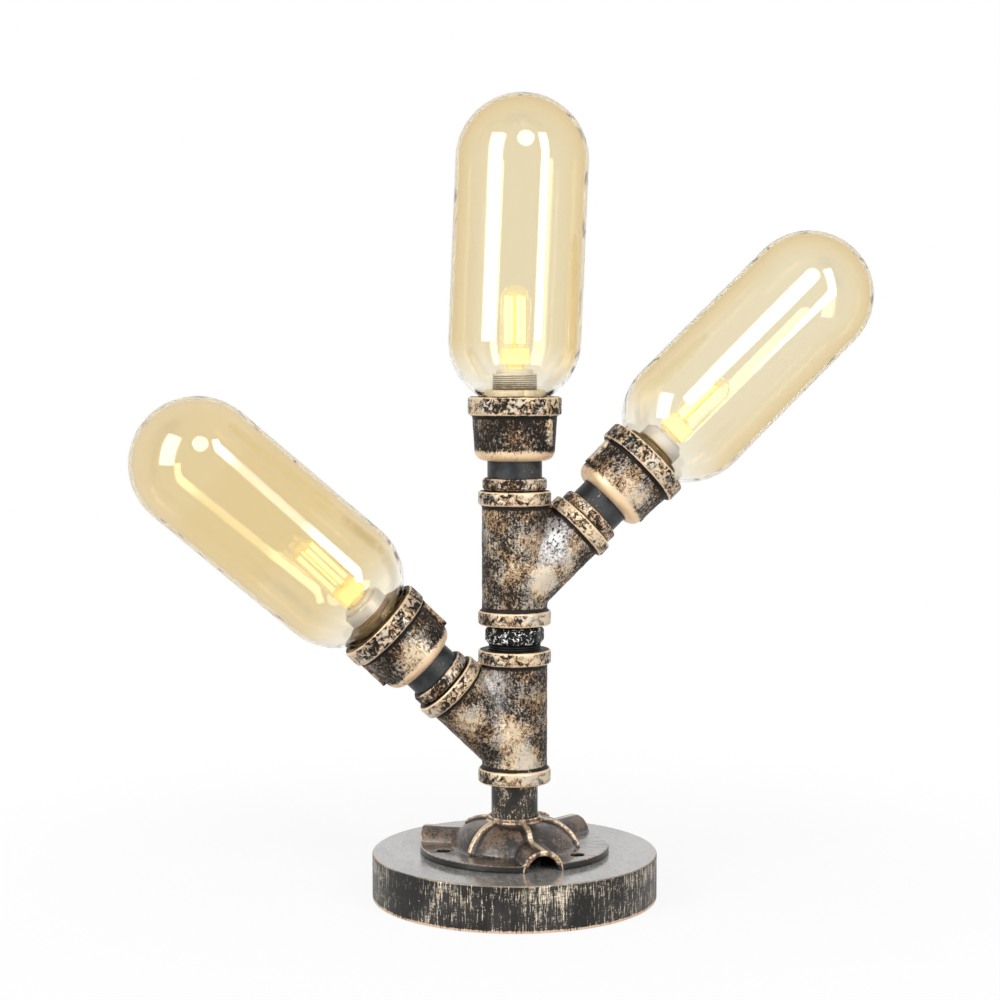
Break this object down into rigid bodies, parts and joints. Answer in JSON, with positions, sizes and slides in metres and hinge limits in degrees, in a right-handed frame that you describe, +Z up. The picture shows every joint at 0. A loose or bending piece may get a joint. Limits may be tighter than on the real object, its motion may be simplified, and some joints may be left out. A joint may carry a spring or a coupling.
{
  "type": "table lamp",
  "caption": "Table lamp of threaded pipe fittings on a round weighted base, with slanted and upright amber capsule shades lit by small pin bulbs.",
  "frame": {"origin": "centre of the base pad's resting face", "axes": "+Z up along the pipe column; the arms lie in the XZ plane, the lower one towards -X and the upper one towards +X"},
  "size_m": [0.3674, 0.14, 0.3923],
  "materials": {
    "aged_bronze": "dark paint dry-brushed with pale gold, worn to gold on the beads",
    "flange_finish": "dark brown paint with worn gold edges",
    "base_finish": "satin dark paint, side brushed with upright gold scratches",
    "dark_pipe": "semi-matt blue-black paint",
    "raw_iron": "as cast",
    "inner_steel": "plain rolled",
    "dark_steel": "blackened",
    "zinc": "zinc plated",
    "brass": "turned",
    "pad": "foamed, matt",
    "gasket": "silicone, satin",
    "black_plastic": "moulded",
    "white_plastic": "moulded",
    "lead_sleeve": "glass-fibre sleeving",
    "sleeve_plastic": "moulded, threaded outside",
    "ceramic": "unglazed steatite",
    "bulb_base": "translucent, lit from inside",
    "filament": "phosphor-coated, lit",
    "clear_glass": "clear",
    "amber_glass": "blown, pale amber"
  },
  "bodies": {
    "base": {"base_pad": "pad", "bottom_plate": "inner_steel", "plate_screws": "zinc", "base_shell": "base_finish", "base_weight": "raw_iron", "cord_bushing": "black_plastic", "terminal_block": "white_plastic", "terminal_screws": "brass", "earth_terminal": "brass", "base_leads": "lead_sleeve", "column_washer": "zinc", "column_locknut": "raw_iron", "column_nipple": "dark_pipe", "floor_flange": "flange_finish"},
    "lower_arm": {"lower_tee": "aged_bronze", "hex_nipple": "dark_pipe", "lower_leads": "lead_sleeve"},
    "upper_arm": {"upper_tee": "aged_bronze", "upper_leads": "lead_sleeve"},
    "left_head": {"left_lock_ring": "aged_bronze", "left_nipple": "dark_pipe", "left_cup": "aged_bronze", "left_seat_disc": "inner_steel", "left_seat_gasket": "gasket", "left_glass_shade": "amber_glass", "left_clamp_ring": "dark_steel", "left_holder_sleeve": "sleeve_plastic", "left_lamp_holder": "ceramic", "left_bulb_base": "bulb_base", "left_bulb_glass": "clear_glass", "left_filaments": "filament", "left_leads": "lead_sleeve"},
    "right_head": {"right_lock_ring": "aged_bronze", "right_nipple": "dark_pipe", "right_cup": "aged_bronze", "right_seat_disc": "inner_steel", "right_seat_gasket": "gasket", "right_glass_shade": "amber_glass", "right_clamp_ring": "dark_steel", "right_holder_sleeve": "sleeve_plastic", "right_lamp_holder": "ceramic", "right_bulb_base": "bulb_base", "right_bulb_glass": "clear_glass", "right_filaments": "filament", "right_leads": "lead_sleeve"},
    "top_head": {"top_lock_ring": "aged_bronze", "top_nipple": "dark_pipe", "top_cup": "aged_bronze", "top_seat_disc": "inner_steel", "top_seat_gasket": "gasket", "top_glass_shade": "amber_glass", "top_clamp_ring": "dark_steel", "top_holder_sleeve": "sleeve_plastic", "top_lamp_holder": "ceramic", "top_bulb_base": "bulb_base", "top_bulb_glass": "clear_glass", "top_filaments": "filament", "top_leads": "lead_sleeve"}
  },
  "joints": [
    {"name": "lower_arm_swivel", "type": "hinge", "parent": "base", "child": "lower_arm", "pos_m": [0, 0, 0.06], "axis": [0, 0, 1], "range_deg": [-170, 170]},
    {"name": "upper_arm_swivel", "type": "hinge", "parent": "lower_arm", "child": "upper_arm", "pos_m": [0, 0, 0.14], "axis": [0, 0, 1], "range_deg": [-120, 120]},
    {"name": "left_head_swivel", "type": "hinge", "parent": "lower_arm", "child": "left_head", "pos_m": [0, 0, 0.0735], "axis": [-0.7193, 0, 0.6947], "range_deg": [-90, 90]},
    {"name": "right_head_swivel", "type": "hinge", "parent": "upper_arm", "child": "right_head", "pos_m": [0, 0, 0.1512], "axis": [0.7193, 0, 0.6947], "range_deg": [-90, 90]},
    {"name": "top_head_swivel", "type": "hinge", "parent": "upper_arm", "child": "top_head", "pos_m": [0, 0, 0.2], "axis": [0, 0, 1], "range_deg": [-90, 90]}
  ]
}
